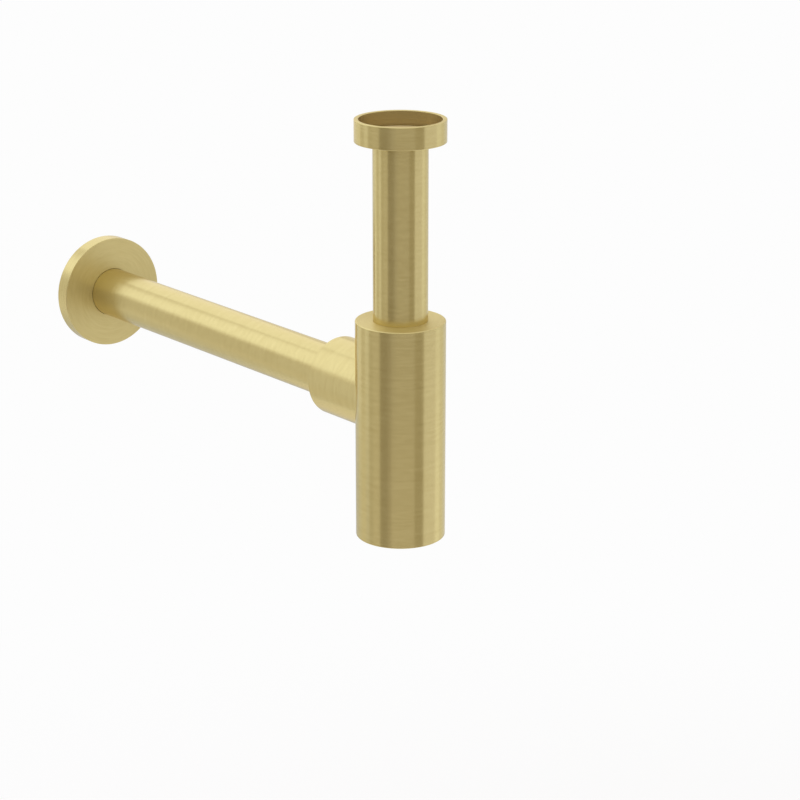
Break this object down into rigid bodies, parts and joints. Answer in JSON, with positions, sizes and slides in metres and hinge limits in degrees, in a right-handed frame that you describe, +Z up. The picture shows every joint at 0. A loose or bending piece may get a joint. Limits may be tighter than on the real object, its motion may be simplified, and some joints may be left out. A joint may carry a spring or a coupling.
{
  "type": "basin trap",
  "caption": "Bottle trap for a wash basin: round union nut on an inlet pipe, cylindrical bottle with a cleaning plug, straight outlet pipe and hollow wall flange.",
  "frame": {"origin": "centre of the inlet washer's sealing face, at the foot of the inlet nut's thread", "axes": "+Z up the inlet towards the basin, +Y along the outlet towards the wall"},
  "size_m": [0.074, 0.3565, 0.25],
  "materials": {
    "brushed_brass": "brushed, coated",
    "turned_brass": "turned",
    "black_rubber": "moulded",
    "cream_rubber": "moulded",
    "nylon": "moulded"
  },
  "bodies": {
    "inlet": {"inlet_pipe": "brushed_brass", "inlet_washer": "cream_rubber"},
    "nut_carrier": {"inlet_slip_ring": "nylon"},
    "nut": {"inlet_nut": "brushed_brass"},
    "inlet_seal": {"inlet_oring_upper": "black_rubber", "inlet_oring_lower": "black_rubber"},
    "bottle": {"top_bush": "turned_brass", "bottle_tube": "brushed_brass", "base_ring": "turned_brass", "outlet_socket": "brushed_brass"},
    "plug_seal": {"plug_oring": "black_rubber"},
    "plug": {"cleaning_plug": "turned_brass"},
    "outlet_seal": {"outlet_oring_inner": "black_rubber", "outlet_oring_outer": "black_rubber"},
    "outlet": {"outlet_pipe": "brushed_brass"},
    "flange_seal": {"flange_oring": "black_rubber"},
    "flange": {"wall_flange": "brushed_brass"}
  },
  "joints": [
    {"name": "nut_slide", "type": "slide", "parent": "inlet", "child": "nut_carrier", "axis": [0, 0, 1], "range_m": [-0.098, 0]},
    {"name": "nut_turn", "type": "hinge", "parent": "nut_carrier", "child": "nut", "pos_m": [0, 0, 0], "axis": [0, 0, 1], "continuous": true},
    {"name": "bottle_height", "type": "slide", "parent": "inlet", "child": "inlet_seal", "axis": [0, 0, 1], "range_m": [-0.03, 0.006]},
    {"name": "bottle_swivel", "type": "hinge", "parent": "inlet_seal", "child": "bottle", "pos_m": [0, 0, 0], "axis": [0, 0, 1], "continuous": true},
    {"name": "plug_travel", "type": "slide", "parent": "bottle", "child": "plug_seal", "axis": [0, 0, -1], "range_m": [0, 0.0076]},
    {"name": "plug_turn", "type": "hinge", "parent": "plug_seal", "child": "plug", "pos_m": [0, 0, -0.2417], "axis": [0, 0, -1], "range_deg": [0, 1800]},
    {"name": "outlet_turn", "type": "hinge", "parent": "bottle", "child": "outlet_seal", "pos_m": [0, 0, -0.1567], "axis": [0, 1, 0], "continuous": true},
    {"name": "outlet_reach", "type": "slide", "parent": "outlet_seal", "child": "outlet", "axis": [0, 1, 0], "range_m": [-0.0028, 0.012]},
    {"name": "flange_slide", "type": "slide", "parent": "outlet", "child": "flange_seal", "axis": [0, 1, 0], "range_m": [-0.24, 0.01]},
    {"name": "flange_turn", "type": "hinge", "parent": "flange_seal", "child": "flange", "pos_m": [0, 0, -0.1567], "axis": [0, 1, 0], "continuous": true}
  ],
  "couplings": [
    {"joint": "plug_travel", "follows": "plug_turn", "m_per_rad": 0.00023873}
  ]
}
